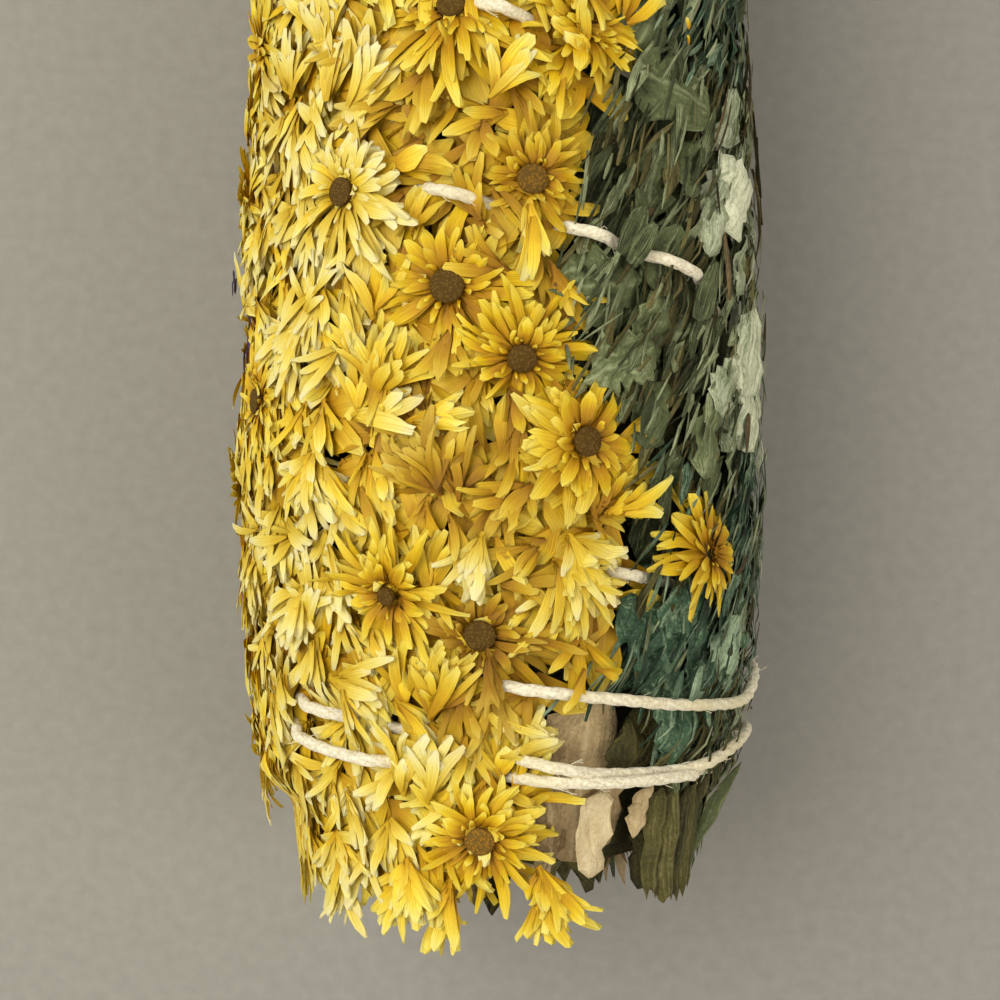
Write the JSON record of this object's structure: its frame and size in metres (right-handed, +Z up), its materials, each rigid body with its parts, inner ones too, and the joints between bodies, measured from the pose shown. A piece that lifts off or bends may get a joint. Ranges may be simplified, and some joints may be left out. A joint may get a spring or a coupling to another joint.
{
  "type": "sage smudge stick",
  "caption": "Dried sage bundle wound with cotton string, its outside covered with dried yellow blooms on one side and dyed and grey-green leaves on the other.",
  "frame": {"origin": "on the surface that the stick lies on, under the middle of its bounding box", "axes": "+Y along the stick towards its tip end, -Y towards its cut butt end, +Z up, +X towards the leaf side"},
  "size_m": [0.0387, 0.1043, 0.0368],
  "materials": {
    "yellow_petal": "dry, matt, slightly see-through petals",
    "sage_stem": "dry, felted leaf mass with a woody stem",
    "pale_leaf": "dry, felted",
    "grey_leaf": "dry, felted",
    "mint_leaf": "dry, slightly waxy",
    "teal_leaf": "dry, dyed, finely wrinkled",
    "olive_leaf": "dry, crumpled",
    "violet_petal": "dry, matt",
    "cotton_string": "twisted undyed cotton, slightly fuzzy"
  },
  "bodies": {
    "root": {"yellow_bloom_01": "yellow_petal", "yellow_bloom_02": "yellow_petal", "yellow_bloom_03": "yellow_petal", "yellow_bloom_04": "yellow_petal", "yellow_bloom_05": "yellow_petal", "yellow_bloom_06": "yellow_petal", "yellow_bloom_07": "yellow_petal", "yellow_bloom_08": "yellow_petal", "yellow_bloom_09": "yellow_petal", "yellow_bloom_10": "yellow_petal", "yellow_bloom_11": "yellow_petal", "yellow_bloom_12": "yellow_petal", "yellow_bloom_13": "yellow_petal", "yellow_bloom_14": "yellow_petal", "yellow_bloom_15": "yellow_petal", "yellow_bloom_16": "yellow_petal", "yellow_bloom_17": "yellow_petal", "yellow_bloom_18": "yellow_petal", "yellow_bloom_19": "yellow_petal", "yellow_bloom_20": "yellow_petal", "yellow_bloom_21": "yellow_petal", "yellow_bloom_22": "yellow_petal", "yellow_bloom_23": "yellow_petal", "yellow_bloom_24": "yellow_petal", "yellow_bloom_25": "yellow_petal", "yellow_bloom_26": "yellow_petal", "bloom_spray_1": "yellow_petal", "bloom_spray_2": "yellow_petal", "bloom_spray_3": "yellow_petal", "bloom_spray_4": "yellow_petal", "bloom_spray_5": "yellow_petal", "bloom_spray_6": "yellow_petal", "bloom_spray_7": "yellow_petal", "bloom_spray_8": "yellow_petal", "sage_stem_middle": "sage_stem", "sage_stem_1": "sage_stem", "sage_stem_2": "sage_stem", "sage_stem_3": "sage_stem", "sage_stem_4": "sage_stem", "sage_stem_5": "sage_stem", "grey_leaves_1": "grey_leaf", "grey_leaves_2": "grey_leaf", "grey_leaves_3": "grey_leaf", "grey_leaves_4": "grey_leaf", "thin_base_leaf": "grey_leaf", "mint_leaves_1": "mint_leaf", "mint_leaves_2": "mint_leaf", "teal_leaves_1": "teal_leaf", "teal_leaves_2": "teal_leaf", "teal_leaves_3": "teal_leaf", "olive_leaves": "olive_leaf", "folded_base_leaf": "olive_leaf", "under_leaves_1": "olive_leaf", "under_leaves_2": "olive_leaf", "under_leaves_3": "olive_leaf", "under_leaves_4": "olive_leaf", "under_leaves_5": "olive_leaf", "pale_base_leaf": "pale_leaf", "violet_sprig": "violet_petal", "cotton_string": "cotton_string"}
  },
  "joints": []
}
